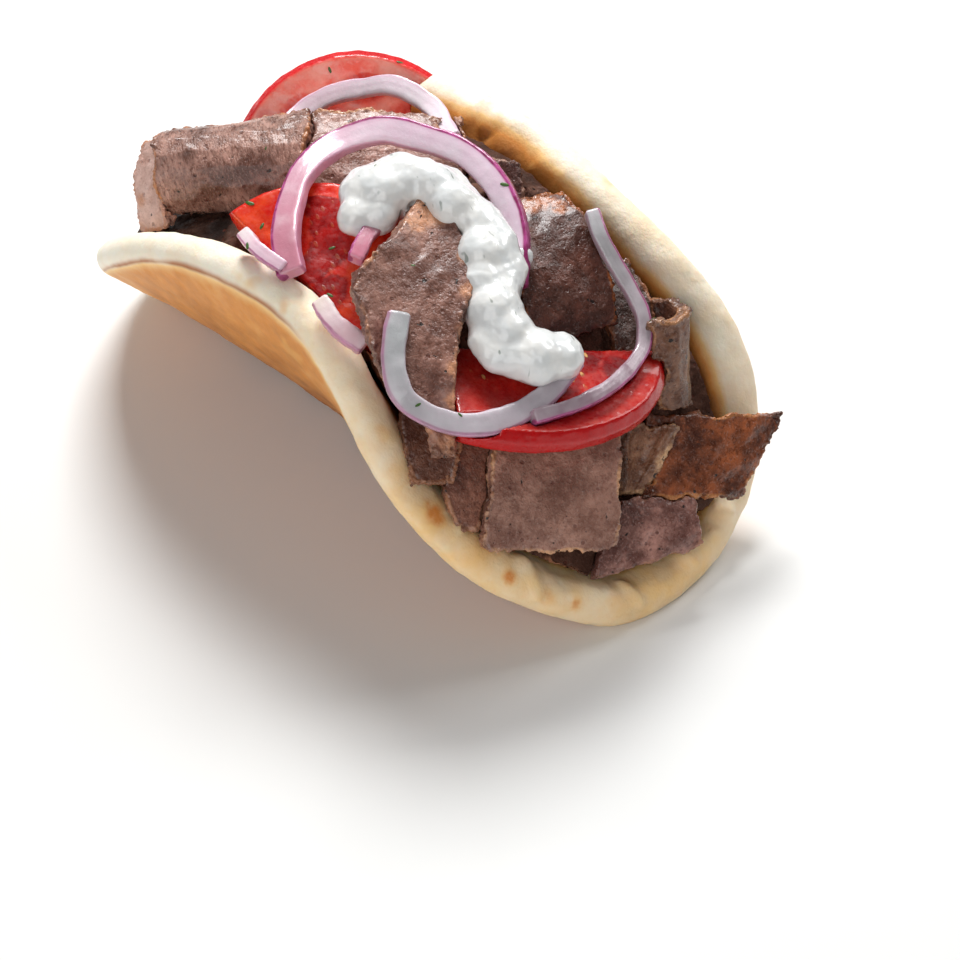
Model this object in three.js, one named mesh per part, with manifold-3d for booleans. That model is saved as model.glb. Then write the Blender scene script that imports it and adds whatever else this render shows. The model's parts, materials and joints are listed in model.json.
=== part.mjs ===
// Gyro wrap: a soft round pita folded into a trough and piled with slices of meat,
// tomato, red onion and white sauce.
// Millimetres, +Z up. +X runs along the fold to the end that lies open, and the wall
// on the -Y side leans out further than the one on the +Y side.
// The origin is on the table, under the middle of the fold.
import * as THREE from 'three';
import { mergeVertices } from 'three/addons/utils/BufferGeometryUtils.js';
import Module from 'manifold-3d';

const wasm = await Module();
wasm.setup();

// ---- driving dimensions ----
// "pressed" is how deep the underside is pressed flat, "puff" is the share by which the
// thickness varies, and "front" is the share of its half length that the open end keeps.
const bread = { length: 183, across: 175, thick: 10, pressed: 1.5, puff: 0.06, front: 0.979 };
// Angle of each wall, in degrees from level, at even steps from the fold to the rim.
// "ease" is the share of that angle that is gone at the back and at the front tip, and
// "swell" is a share that is added round one place along the fold.
const lowWall = {
  side: -1, turn: [0, 56.4, 50.3, 62.5, 92], ease: { back: 0.315, front: 0.553 },
  swell: { share: 0.08, at: 29, reach: 28 },
};
const highWall = {
  side: 1, turn: [0, 60, 96.5, 94.7, 26.7], ease: { back: 0.886, front: 0.764 },
  swell: { share: -0.108, at: 10, reach: 35 },
};
const meatThick = 3.2;
const tomatoThick = 7.5;
const onionWide = 5.6;
const onionThick = 3.4;
const gap = 0.35; // clear space between pieces that touch
const bedGap = 1; // the same for the plainer shapes that are pressed into the layers below
const smoothing = 0.08; // largest step that may be taken out of a face after cutting

// Side of one facet on a slice that is shown, and on one that is pressed into the layers.
const fineCell = 4;
const coarseCell = 7;
const facetTurn = 24; // most degrees of bend between two rows of facets
const breadSides = 48;
const breadRings = [0.12, 0.24, 0.36, 0.48, 0.59, 0.69, 0.78, 0.86, 0.92, 0.955, 0.985];

const meatColor = 0x7c564a;
const breadColor = 0xe9d2a4;
const tomatoColor = 0xc9201a;
const onionColor = 0xe6dbe2;
const sauceColor = 0xf1f0ea;

// ---- small helpers ----
const vec = (p) => new THREE.Vector3(p[0], p[1], p[2]);

// A smooth wander between -1 and 1 along one coordinate, made of three waves.
const waves = [
  { rate: 2.1, shift: 1.7, share: 0.5 },
  { rate: 5.3, shift: 2.9, share: 0.3 },
  { rate: 11.7, shift: 4.3, share: 0.2 },
];

function wander(x, seed) {
  return waves.reduce((sum, wave) => sum + wave.share * Math.sin(wave.rate * x + wave.shift * seed), 0);
}

// Value at t (0 to 1) of a row of sizes set at even steps.
function along(row, t) {
  const place = Math.min(Math.max(t, 0), 1) * (row.length - 1);
  const i = Math.min(Math.floor(place), row.length - 2);
  const f = place - i;
  const soft = f * f * (3 - 2 * f);
  return row[i] + (row[i + 1] - row[i]) * soft;
}

// The part of a direction that is square to another one, at unit length.
function squareTo(direction, other) {
  return direction.clone().addScaledVector(other, -direction.dot(other)).normalize();
}

function geometryOf(points, faces) {
  const numbers = points.flatMap((p) => p.toArray());
  const geometry = new THREE.BufferGeometry();
  geometry.setAttribute('position', new THREE.Float32BufferAttribute(numbers, 3));
  geometry.setIndex(faces.flat());
  return geometry;
}

// Closed solid between an upper and a lower grid of points, with walls round the edge.
function sheetSolid(upper, lower, rows, cols) {
  const points = [...upper, ...lower];
  const shift = upper.length;
  const faces = [];
  const at = (i, j) => i * (cols + 1) + j;
  for (let i = 0; i < rows; i++) {
    for (let j = 0; j < cols; j++) {
      const [a, b, c, d] = [at(i, j), at(i, j + 1), at(i + 1, j + 1), at(i + 1, j)];
      faces.push([a, b, c], [a, c, d], [a + shift, c + shift, b + shift], [a + shift, d + shift, c + shift]);
    }
  }
  const border = [];
  for (let j = 0; j < cols; j++) border.push(at(0, j));
  for (let i = 0; i < rows; i++) border.push(at(i, cols));
  for (let j = cols; j > 0; j--) border.push(at(rows, j));
  for (let i = rows; i > 0; i--) border.push(at(i, 0));
  border.forEach((a, k) => {
    const b = border[(k + 1) % border.length];
    faces.push([b, a, a + shift], [b, a + shift, b + shift]);
  });
  return geometryOf(points, faces);
}

// Closed solid through a row of rings with the same number of points.
function loft(rings) {
  const size = rings[0].length;
  const points = rings.flat();
  const faces = [];
  for (let i = 0; i < rings.length - 1; i++) {
    for (let j = 0; j < size; j++) {
      const k = (j + 1) % size;
      const [a, b, c, d] = [i * size + j, i * size + k, (i + 1) * size + k, (i + 1) * size + j];
      faces.push([a, b, c], [a, c, d]);
    }
  }
  const middle = (ring) => ring.reduce((sum, p) => sum.add(p), new THREE.Vector3()).divideScalar(size);
  const [first, last] = [points.length, points.length + 1];
  points.push(middle(rings[0]), middle(rings[rings.length - 1]));
  const end = (rings.length - 1) * size;
  for (let j = 0; j < size; j++) {
    const k = (j + 1) % size;
    faces.push([first, k, j], [last, end + j, end + k]);
  }
  return geometryOf(points, faces);
}

// ---- solids for cutting ----
function solidOf(geometry) {
  const plain = geometry.clone();
  plain.deleteAttribute('normal');
  plain.deleteAttribute('uv');
  const merged = mergeVertices(plain, 1e-4);
  const mesh = new wasm.Mesh({
    numProp: 3,
    vertProperties: new Float32Array(merged.attributes.position.array),
    triVerts: new Uint32Array(merged.index.array),
  });
  return new wasm.Manifold(mesh);
}

const cutAway = (solid, others) => others.reduce((rest, other) => rest.subtract(other), solid);

// The largest body of a solid, so that a cut leaves no loose scrap.
function largest(solid) {
  const bodies = solid.decompose();
  bodies.sort((a, b) => b.volume() - a.volume());
  return bodies[0];
}

function geometryFrom(solid) {
  const mesh = solid.getMesh();
  const geometry = new THREE.BufferGeometry();
  geometry.setAttribute('position', new THREE.Float32BufferAttribute(mesh.vertProperties, 3));
  geometry.setIndex(Array.from(mesh.triVerts));
  return geometry;
}

// ---- pita ----
// Point of the bread's middle layer, x along the fold and arc round it from the fold.
function wallPoint(x, arc, wall) {
  const steps = 14;
  const ease = x < 0 ? wall.ease.back : wall.ease.front;
  const swell = wall.swell.share * Math.exp(-(((x - wall.swell.at) / wall.swell.reach) ** 2));
  const kept = 1 - ease * (x / (bread.length / 2)) ** 2 + swell;
  let [y, z, angle] = [0, bread.thick / 2 - bread.pressed, 0];
  for (let i = 0; i < steps; i++) {
    const share = ((i + 0.5) / steps) * (arc / (bread.across / 2));
    angle = THREE.MathUtils.degToRad(along(wall.turn, share) * kept);
    y += (Math.cos(angle) * arc) / steps;
    z += (Math.sin(angle) * arc) / steps;
  }
  const outward = new THREE.Vector3(0, wall.side * Math.sin(angle), -Math.cos(angle));
  const place = x > 0 ? bread.front * x : x;
  return { middle: new THREE.Vector3(place, wall.side * y, z), outward };
}

// Bread at a share r (0 to 1) of the way from its centre to the rim, in direction turn.
function breadPoint(r, turn, face, grow) {
  const edge = 1 + 0.008 * Math.sin(3 * turn + 0.6) + 0.006 * Math.sin(7 * turn + 2);
  const x = (bread.length / 2) * edge * r * Math.cos(turn);
  const across = (bread.across / 2) * edge * r * Math.sin(turn);
  const wall = across < 0 ? lowWall : highWall;
  const { middle, outward } = wallPoint(x, Math.abs(across), wall);
  const half = bread.thick / 2;
  const fromRim = ((bread.length / 2) * (1 - r)) / half;
  const round = fromRim < 1 ? Math.sqrt(1 - (1 - fromRim) ** 2) : 1;
  const puff = 1 + bread.puff * Math.sin(5 * turn + 9 * r);
  return middle.addScaledVector(outward, face * (half * round * puff + grow));
}

function breadGeometry(grow = 0) {
  const points = [breadPoint(0, 0, 1, grow), breadPoint(0, 0, -1, grow)];
  const faces = [];
  const outer = [];
  const inner = [];
  for (const r of breadRings) {
    for (let k = 0; k < breadSides; k++) {
      const turn = (2 * Math.PI * k) / breadSides;
      outer.push(points.push(breadPoint(r, turn, 1, grow)) - 1);
      inner.push(points.push(breadPoint(r, turn, -1, grow)) - 1);
    }
  }
  const reach = 1 + grow / (bread.length / 2);
  const rim = [];
  for (let k = 0; k < breadSides; k++) {
    const turn = (2 * Math.PI * k) / breadSides;
    const tip = breadPoint(1, turn, 0, 0).multiplyScalar(reach);
    rim.push(points.push(tip) - 1);
  }
  const last = (breadRings.length - 1) * breadSides;
  for (let k = 0; k < breadSides; k++) {
    const n = (k + 1) % breadSides;
    faces.push([0, outer[n], outer[k]], [1, inner[k], inner[n]]);
    for (let base = 0; base < last; base += breadSides) {
      const [a, b, c, d] = [base + k, base + n, base + breadSides + n, base + breadSides + k];
      faces.push([outer[a], outer[b], outer[c]], [outer[a], outer[c], outer[d]]);
      faces.push([inner[a], inner[c], inner[b]], [inner[a], inner[d], inner[c]]);
    }
    faces.push([outer[last + k], outer[last + n], rim[n]], [outer[last + k], rim[n], rim[k]]);
    faces.push([inner[last + k], rim[n], inner[last + n]], [inner[last + k], rim[k], rim[n]]);
  }
  return geometryOf(points, faces);
}

// ---- meat ----
// Each slice is a slab round its middle point "at". "long" and "wide" are the directions
// of its length and width. "bend" and "curl" turn it along the length and across it, in
// degrees, hollow side out when positive. "widths" are its widths from foot to top, "lean"
// moves its middle sideways, and "taper" makes the bend wider towards one side.
const meat = {
  meat_roll_back: {
    at: [-37, -26, 69], wide: [0.6, 0.78, 0.28], long: [-0.5, 0.4, 0.75],
    length: 31, widths: [34, 37, 37], bend: -170, taper: 0.4, seed: 1,
  },
  meat_roll_end: {
    at: [-54, -37, 60], wide: [0.86, 0.18, 0.47], long: [-0.5, 0.45, 0.74],
    length: 22, widths: [10, 11, 9], bend: -50, seed: 2,
  },
  meat_behind_onion: {
    at: [-15, 3, 71.5], wide: [0.7, 0.7, -0.03], long: [-0.6, 0.6, 0.3],
    length: 23, widths: [36, 42, 36], bend: -30, seed: 3,
  },
  meat_far_scrap: {
    at: [12.2, 17.2, 70], wide: [0.79, 0.61, -0.13], long: [-0.4, 0.66, 0.64],
    length: 11, widths: [8, 9, 9], lean: [2, 0, -2], bend: -10, seed: 4,
  },
  meat_centre: {
    at: [42.4, -26, 71.2], wide: [0.52, 0.84, -0.14], long: [-0.71, 0.53, 0.47],
    length: 63, widths: [5.3, 5.8, 14.5, 20, 24, 29, 22, 12.5, 5],
    lean: [-2.7, -3, -7.3, -9, -8.8, -8.4, -4.4, -2.9, -2], bend: -30, curl: 30, seed: 5,
  },
  meat_far_upper: {
    at: [39, 9, 68], wide: [0.2, 0.97, 0.05], long: [-0.82, 0.31, 0.48],
    length: 36, widths: [21, 23, 17], bend: -65, seed: 6,
  },
  meat_far_middle: {
    at: [50, 21, 54], wide: [0.2, 0.95, -0.2], long: [-0.8, 0.3, 0.5],
    length: 22, widths: [13, 13, 10], bend: -20, seed: 7,
  },
  meat_far_curl: {
    at: [66, 25, 46.5], wide: [0.65, -0.57, 0.4], long: [-0.3, 0.25, 0.9],
    length: 22, widths: [17, 22, 29], lean: [0, 0, -2], curl: 200, seed: 8,
  },
  meat_front_slab: {
    at: [71.6, -20.7, 37.4], wide: [0.43, 0.88, -0.21], long: [-0.55, 0.44, 0.71],
    length: 28, widths: [32.5, 31.5, 31], lean: [-1.5, 0, 1.5], bend: -30, seed: 9,
  },
  meat_front_loop: {
    at: [71.5, 5.2, 30.2], wide: [0.49, 0.85, -0.18], long: [-0.5, 0.44, 0.74],
    length: 16, widths: [6, 12, 16], lean: [-2, 0, 2], curl: 130, seed: 10,
  },
  meat_over_rim: {
    at: [79.2, 19.9, 27.9], wide: [0.39, 0.89, -0.25], long: [-0.51, 0.43, 0.74],
    length: 19, widths: [27, 31, 35], lean: [-3.8, 0, 3.8], curl: -30, seed: 11,
  },
  meat_front_low: {
    at: [82.6, -0.7, 19.7], wide: [0.27, 0.96, -0.06], long: [-0.63, 0.23, 0.74],
    length: 14.5, widths: [28, 25, 21], lean: [-2.4, 0, 2.4], bend: -20, seed: 12,
  },
  meat_near_low: {
    at: [61, -37, 41], wide: [0.5, 0.8, -0.3], long: [-0.55, 0.45, 0.7],
    length: 21, widths: [8, 13, 12], bend: -20, seed: 13,
  },
  meat_under_centre: {
    at: [52, -40, 50], wide: [0.5, 0.85, -0.15], long: [-0.6, 0.5, 0.6],
    length: 20, widths: [10, 14, 14], bend: -20, seed: 14,
  },
};
// How far in mm a slice's ends and face wave, and the shares by which its width and
// thickness vary. Where a slice is narrower than "full", it waves less.
const ragged = { ends: 1, face: 0.7, full: 22, sides: 0.05, thick: 0.12 };

const fullness = (slice, a) => Math.min(1, along(slice.widths, a + 0.5) / ragged.full);

// Middle layer of a slice, a along its length and b across it, both from -0.5 to 0.5.
function slicePoint(slice, a, b) {
  const length = vec(slice.long).normalize();
  const width = squareTo(vec(slice.wide), length);
  const face = new THREE.Vector3().crossVectors(width, length);
  const nearlyFlat = 0.01;
  const bend = THREE.MathUtils.degToRad(slice.bend || nearlyFlat);
  const curl = THREE.MathUtils.degToRad(slice.curl || nearlyFlat);
  const reach = (slice.length * (1 + (slice.taper || 0) * b)) / bend;
  const point = vec(slice.at);
  point.addScaledVector(length, reach * Math.sin(a * bend));
  point.addScaledVector(face, reach * (1 - Math.cos(a * bend)));
  const outward = face.clone().multiplyScalar(Math.cos(a * bend));
  outward.addScaledVector(length, -Math.sin(a * bend));
  const span = along(slice.widths, a + 0.5) / curl;
  const wave = ragged.face * fullness(slice, a);
  const lean = slice.lean ? along(slice.lean, a + 0.5) : 0;
  point.addScaledVector(width, span * Math.sin(b * curl) + lean);
  point.addScaledVector(outward, span * (1 - Math.cos(b * curl)));
  point.addScaledVector(outward, wave * wander(3 * a + 2 * b, slice.seed));
  return point;
}

function meatGeometry(slice, grow = 0, cell = fineCell) {
  const widest = Math.max(...slice.widths);
  const turnRows = Math.abs(slice.bend || 0) / facetTurn;
  const turnCols = Math.abs(slice.curl || 0) / facetTurn;
  const rows = Math.min(12, Math.round(Math.max(4, slice.length / cell, turnRows)));
  const cols = Math.min(9, Math.round(Math.max(3, widest / cell, turnCols)));
  const half = meatThick / 2 + grow;
  const step = 0.01;
  const upper = [];
  const lower = [];
  for (let i = 0; i <= rows; i++) {
    for (let j = 0; j <= cols; j++) {
      const [s, t] = [i / rows - 0.5, j / cols - 0.5];
      const endWave = ragged.ends * fullness(slice, s) * wander(9 * t, slice.seed + 3);
      const endShare = 1 + (2 * endWave) / slice.length;
      const sideShare = 1 + ragged.sides * wander(7 * s, slice.seed + 5);
      const [a, b] = [s * endShare, t * sideShare];
      const point = slicePoint(slice, a, b);
      const lengthwise = slicePoint(slice, a + step, b).sub(point).normalize();
      const sideways = slicePoint(slice, a, b + step).sub(point).normalize();
      const outward = new THREE.Vector3().crossVectors(sideways, lengthwise).normalize();
      point.addScaledVector(lengthwise, 2 * s * grow);
      point.addScaledVector(sideways, 2 * t * grow);
      const thick = half * (1 + ragged.thick * wander(4 * a - 5 * b, slice.seed + 7));
      upper.push(point.clone().addScaledVector(outward, thick));
      lower.push(point.clone().addScaledVector(outward, -thick));
    }
  }
  return sheetSolid(upper, lower, rows, cols);
}

// ---- tomato ----
// Each slice is part of a disc round "at" that faces "face". "keep" points to the side of
// its straight cut that stays, and "cut" is how far that cut lies from the middle. With
// "trim" a second cut, square to the first, takes off the far end at that distance.
const tomato = {
  tomato_back: {
    at: [-34.3, 10.6, 47.8], face: [0.55, -0.49, 0.67], keep: [-0.5, 0.45, 0.74], cut: 4,
    radius: 32, depth: 32.5, seed: 1,
  },
  tomato_near: {
    at: [11.2, -38, 63.5], face: [0.17, -0.3, 0.94], keep: [0.05, 0.94, 0.3], cut: 0,
    radius: 33, depth: 30, seed: 2,
  },
  tomato_front: {
    at: [47.2, -12.7, 55], face: [0.2, 0.15, 0.97], keep: [0.88, -0.47, -0.11], cut: 0,
    radius: 37, depth: 27.5, trim: 19, seed: 3,
  },
};
// Half outline of a slice, in shares of its radius and of half its thickness: flat faces
// with a skin that bulges between them.
const tomatoOutline = [
  [0, -1], [0.35, -1], [0.68, -1], [0.93, -1], [1, -0.5],
  [1.01, 0.3], [0.96, 1], [0.68, 1], [0.35, 1], [0, 1],
];
// Seed pockets: the shares of the radius that they lie between, how deep and how many.
const pockets = { from: 0.5, to: 0.8, deep: 1.1, count: 3 };

function tomatoGeometry(slice, grow = 0, cell = fineCell) {
  const sides = Math.round(160 / cell);
  const half = tomatoThick / 2 + grow;
  const reach = 1 + grow / slice.radius;
  const profile = tomatoOutline.map(([out, up]) => new THREE.Vector2(out * reach, up * half));
  const disc = new THREE.LatheGeometry(profile, sides);
  const spots = disc.attributes.position;
  for (let i = 0; i < spots.count; i++) {
    const p = new THREE.Vector3().fromBufferAttribute(spots, i);
    const out = Math.hypot(p.x, p.z);
    const turn = Math.atan2(p.z, p.x);
    const inPocket = out > pockets.from && out < pockets.to;
    const sunk = inPocket ? pockets.deep * Math.max(0, Math.sin(pockets.count * turn + slice.seed)) : 0;
    const wave = 0.3 * wander(p.x + 2 * p.z, slice.seed) * Math.min(1, out * 3);
    p.y += wave - Math.sign(p.y) * sunk;
    spots.setXYZ(i, p.x * slice.radius, p.y, p.z * slice.depth);
  }
  const up = vec(slice.face).normalize();
  const keep = squareTo(vec(slice.keep), up);
  const side = new THREE.Vector3().crossVectors(up, keep);
  const place = new THREE.Matrix4().makeBasis(side, up, keep).setPosition(vec(slice.at));
  const block = 2 * (slice.radius + 5);
  const away = new THREE.BoxGeometry(block, block, block);
  away.translate(0, 0, slice.cut - grow - block / 2);
  const cuts = [solidOf(away)];
  if (slice.trim) {
    const end = new THREE.BoxGeometry(block, block, block);
    end.translate(-slice.trim - grow - block / 2, 0, 0);
    cuts.push(solidOf(end));
  }
  const geometry = geometryFrom(cutAway(solidOf(disc), cuts));
  geometry.applyMatrix4(place);
  return geometry;
}

// ---- onion ----
// Each strip follows its points, chosen by hand where it lies on the pile. "face" is the
// way its flat cut side looks, and "size" scales its width.
const onion = {
  onion_back: {
    path: [[-42.9, -7, 64.3], [-46.9, 3, 65.3], [-44.9, 11, 68.3], [-39.9, 17, 70.3],
      [-31.9, 21, 73.3], [-20.9, 23, 72.3], [-5.9, 17, 73.3]],
    face: [0.45, -0.45, 0.77], size: 0.85,
  },
  onion_ring: {
    path: [[9.6, -44.6, 74.1], [1.6, -39.6, 77.1], [-6.4, -31.6, 78.1], [-13.4, -21.6, 79.1],
      [-15.4, -9.6, 80.1], [-10.4, -0.6, 82.1], [-1.4, 4.4, 82.1], [8.6, 7.4, 82.1], [19.6, 7.4, 80.1],
      [28.9, 4.7, 76.1], [35.5, -0.2, 72.1], [40.2, -5.4, 68.1]],
    face: [0.3, -0.45, 0.84], size: 1.15,
  },
  onion_front: {
    path: [[38, -37, 76], [42, -42, 73], [47, -46, 69], [51, -47, 66], [55, -45, 63], [60, -40, 60],
      [63, -33, 58], [64, -25, 57], [64, -18, 57], [63, -12, 58], [62, -6, 61]],
    face: [0.55, -0.45, 0.7], size: 0.95,
  },
  onion_far: {
    path: [[38, 21, 75], [43, 19, 72], [48, 19, 67], [54, 19, 62], [59, 18, 58], [63, 14.5, 54.2],
      [66.2, 7.2, 53.5], [69.3, -2.9, 55], [69.8, -11.4, 56], [68.4, -18.5, 56.5],
      [67.3, -23.6, 57]],
    face: [0.55, -0.3, 0.78], size: 0.62,
  },
  onion_rim_back: {
    path: [[-8, -44, 75], [0, -46, 76], [8, -45, 75]],
    face: [0.2, -0.5, 0.84], size: 0.6,
  },
  onion_rim_front: {
    path: [[20, -45, 73], [27, -46, 71], [34, -44, 68]],
    face: [0.3, -0.4, 0.87], size: 0.8,
  },
  onion_under_sauce: {
    path: [[13, -22, 79], [15, -27, 79], [18, -33, 77]],
    face: [0.5, -0.4, 0.77], size: 0.7,
  },
};
// The section of a strip is a box with this share of each side left flat.
const flatShare = 0.6;
const onionSection = [
  [-1, -flatShare], [-1, flatShare], [-flatShare, 1], [flatShare, 1],
  [1, flatShare], [1, -flatShare], [flatShare, -1], [-flatShare, -1],
];
const onionStep = 4;
const onionSwell = 0.08; // share by which a strip's width varies

function onionGeometry(strip, grow = 0) {
  const curve = new THREE.CatmullRomCurve3(strip.path.map(vec));
  const steps = Math.max(6, Math.round(curve.getLength() / onionStep));
  const wide = (onionWide * strip.size) / 2 + grow;
  const thick = onionThick / 2 + grow;
  const rings = [];
  for (let i = 0; i <= steps; i++) {
    const t = i / steps;
    const tangent = curve.getTangentAt(t);
    const face = squareTo(vec(strip.face), tangent);
    const side = new THREE.Vector3().crossVectors(tangent, face);
    const point = curve.getPointAt(t);
    if (i === 0) point.addScaledVector(tangent, -grow);
    if (i === steps) point.addScaledVector(tangent, grow);
    const swell = 1 + onionSwell * wander(6 * t, strip.path.length);
    rings.push(onionSection.map(([u, v]) => point.clone()
      .addScaledVector(side, u * wide * swell)
      .addScaledVector(face, v * thick)));
  }
  return loft(rings);
}

// ---- sauce ----
// One thick stream along hand-set points, with its radius at each of them.
const sauce = {
  path: [[7, -26, 79], [7, -18.5, 81.8], [11, -11, 83], [18, -6.5, 82.3], [28, -5.5, 79.5], [38, -8, 75],
    [44, -14, 71], [49, -19, 68], [55, -19, 65], [60, -13, 63], [61, -7, 62]],
  radii: [6.5, 8.5, 8.5, 7, 6, 6.3, 6.5, 6.3, 6.5, 6.5, 6, 5],
  steps: 22,
  sides: 12,
  flat: 0.85,
  endShare: 1 / 12,
};
// Lumps in the stream: how many waves each makes round it and along it, and their share.
const lumps = [
  { round: 2, along: 26, share: 0.09 },
  { round: 3, along: -41, share: 0.06 },
];

function sauceGeometry(grow = 0) {
  const curve = new THREE.CatmullRomCurve3(sauce.path.map(vec));
  const rings = [];
  for (let i = 0; i <= sauce.steps; i++) {
    // Ring places bunch up at the two ends, where the stream is rounded off.
    const t = 0.5 - 0.5 * Math.cos((Math.PI * (i + 0.35)) / (sauce.steps + 0.7));
    const fromEnd = Math.min(t, 1 - t) / sauce.endShare;
    const round = fromEnd < 1 ? Math.sqrt(1 - (1 - fromEnd) ** 2) : 1;
    const radius = along(sauce.radii, t) * round + grow;
    const tangent = curve.getTangentAt(t);
    const side = new THREE.Vector3(0, 0, 1).cross(tangent).normalize();
    const rise = new THREE.Vector3().crossVectors(tangent, side);
    const ring = [];
    for (let k = 0; k < sauce.sides; k++) {
      const turn = (2 * Math.PI * k) / sauce.sides;
      const wave = lumps.map((lump) => lump.share * Math.sin(lump.round * turn + lump.along * t));
      const reach = radius * (1 + wave[0] + wave[1]);
      ring.push(curve.getPointAt(t)
        .addScaledVector(side, reach * Math.cos(turn))
        .addScaledVector(rise, sauce.flat * reach * Math.sin(turn)));
    }
    rings.push(ring);
  }
  return loft(rings);
}

// ---- layers of meat that fill the fold under the pieces above ----
// They run from x to x, end "below" the rim, stay "clear" of the bread, rise by "crown" in
// the middle and are "uneven" on top.
const bed = { from: -76, to: 84, below: 5.5, clear: 1.4, lift: 1.2, crown: 2.5, uneven: 1.4 };
const bedRows = 18;
const bedCols = 10;

function bedGeometry() {
  const upper = [];
  const lower = [];
  const inside = bread.thick / 2 + bed.clear;
  for (let i = 0; i <= bedRows; i++) {
    const x = bed.from + ((bed.to - bed.from) * i) / bedRows;
    const rimArc = (bread.across / 2) * Math.sqrt(1 - (x / (bread.length / 2)) ** 2);
    const arc = Math.max(2.5, rimArc - bed.below - bread.thick / 2);
    const ends = [lowWall, highWall].map((wall) => {
      const { middle, outward } = wallPoint(x, arc, wall);
      return middle.addScaledVector(outward, -inside);
    });
    for (let j = 0; j <= bedCols; j++) {
      const t = j / bedCols;
      const spot = (2 * t - 1) * arc;
      const { middle, outward } = wallPoint(x, Math.abs(spot), spot < 0 ? lowWall : highWall);
      const top = ends[0].clone().lerp(ends[1], t);
      const hump = bed.crown + bed.uneven * wander(0.25 * x + 3 * t, 4);
      top.z += bed.lift + Math.sin(Math.PI * t) * hump;
      lower.push(middle.addScaledVector(outward, -inside));
      upper.push(top);
    }
  }
  return sheetSolid(lower, upper, bedRows, bedCols);
}

// ---- assembly ----
// Pieces in the order in which they are kept whole: each one is cut clear of those before it.
const pieces = [];
const add = (name, color, roughness, make) => pieces.push({ name, color, roughness, make });

function addSlice(name) {
  add(name, meatColor, 0.5, (grow, cell) => meatGeometry(meat[name], grow, cell));
}

add('pita', breadColor, 0.85, breadGeometry);
for (const [name, strip] of Object.entries(onion)) {
  add(name, onionColor, 0.35, (grow) => onionGeometry(strip, grow));
}
addSlice('meat_centre');
for (const [name, slice] of Object.entries(tomato)) {
  add(name, tomatoColor, 0.25, (grow, cell) => tomatoGeometry(slice, grow, cell));
}
Object.keys(meat).filter((name) => name !== 'meat_centre').forEach(addSlice);
add('sauce', sauceColor, 0.3, sauceGeometry);

const table = new THREE.BoxGeometry(400, 400, 100);
table.translate(0, 0, -50);
const tableSolid = solidOf(table);

const gyro = new THREE.Group();
gyro.name = 'gyro_wrap';

function show(name, color, roughness, solid) {
  const material = new THREE.MeshStandardMaterial({ color, roughness, metalness: 0 });
  const mesh = new THREE.Mesh(geometryFrom(solid), material);
  mesh.name = name;
  gyro.add(mesh);
}

const grown = [];
for (const piece of pieces) {
  const whole = solidOf(piece.make(0));
  const cut = piece.name === 'pita' ? whole.subtract(tableSolid) : cutAway(whole, grown).simplify(smoothing);
  grown.push(solidOf(piece.make(gap)));
  show(piece.name, piece.color, piece.roughness, largest(cut));
}

// The layers below take the print of everything that lies on them: first of plainer and
// fuller shapes, then of the pieces themselves where those still reach further.
const plainer = pieces.slice(1).map((piece) => solidOf(piece.make(bedGap, coarseCell)));
const layers = cutAway(solidOf(bedGeometry()), [...plainer, ...grown]);
show('meat_layers', meatColor, 0.5, largest(layers.simplify(2 * smoothing)));

export default gyro;
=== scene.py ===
import json
import math

import bmesh
import bpy
import numpy as np
from mathutils import Matrix, Vector

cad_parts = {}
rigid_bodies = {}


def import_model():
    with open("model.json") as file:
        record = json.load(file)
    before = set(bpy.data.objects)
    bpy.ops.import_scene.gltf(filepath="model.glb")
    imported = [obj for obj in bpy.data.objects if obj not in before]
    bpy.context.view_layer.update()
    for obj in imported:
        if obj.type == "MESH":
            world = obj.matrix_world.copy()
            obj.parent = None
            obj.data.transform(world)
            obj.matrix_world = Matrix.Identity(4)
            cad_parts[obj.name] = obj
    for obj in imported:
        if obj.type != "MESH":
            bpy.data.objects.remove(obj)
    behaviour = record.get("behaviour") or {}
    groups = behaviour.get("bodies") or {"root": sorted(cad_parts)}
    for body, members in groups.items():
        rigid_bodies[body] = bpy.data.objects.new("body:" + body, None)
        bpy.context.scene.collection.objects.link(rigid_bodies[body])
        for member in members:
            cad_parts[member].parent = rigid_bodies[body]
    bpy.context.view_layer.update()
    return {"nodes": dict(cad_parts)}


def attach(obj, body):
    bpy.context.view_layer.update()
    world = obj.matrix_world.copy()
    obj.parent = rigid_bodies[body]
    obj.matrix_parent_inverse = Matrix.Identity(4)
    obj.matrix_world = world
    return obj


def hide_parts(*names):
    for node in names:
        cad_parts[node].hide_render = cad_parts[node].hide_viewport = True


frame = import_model()
mm = 0.001
print("frame loaded:", len(frame["nodes"]), "nodes")


# colours and node trees

def tone(red, green, blue):  # from 0..255 screen values to light
    shares = [value / 255 for value in (red, green, blue)]
    return tuple(s / 12.92 if s < 0.04045 else ((s + 0.055) / 1.055) ** 2.4 for s in shares) + (1.0,)


def addNode(tree, kind, inputs=None, **settings):
    node = tree.nodes.new(kind)
    for key, value in settings.items():
        setattr(node, key, value)
    for key, value in (inputs or {}).items():
        if isinstance(value, bpy.types.NodeSocket):
            tree.links.new(value, node.inputs[key])
        else:
            node.inputs[key].default_value = value
    return node


def mathOf(tree, operation, first, second=0.0):
    return addNode(tree, "ShaderNodeMath", {0: first, 1: second}, operation=operation).outputs[0]


def noiseOf(tree, place, size, detail=3.0, rough=0.55, seed=0.0, twist=0.0):  # size in mm
    scale = 1000 / size if isinstance(size, (int, float)) else mathOf(tree, "DIVIDE", 1.0, size)
    inputs = {"Vector": place, "W": seed, "Scale": scale, "Detail": detail, "Roughness": rough,
              "Distortion": twist}
    return addNode(tree, "ShaderNodeTexNoise", inputs, noise_dimensions="4D").outputs[0]


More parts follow.
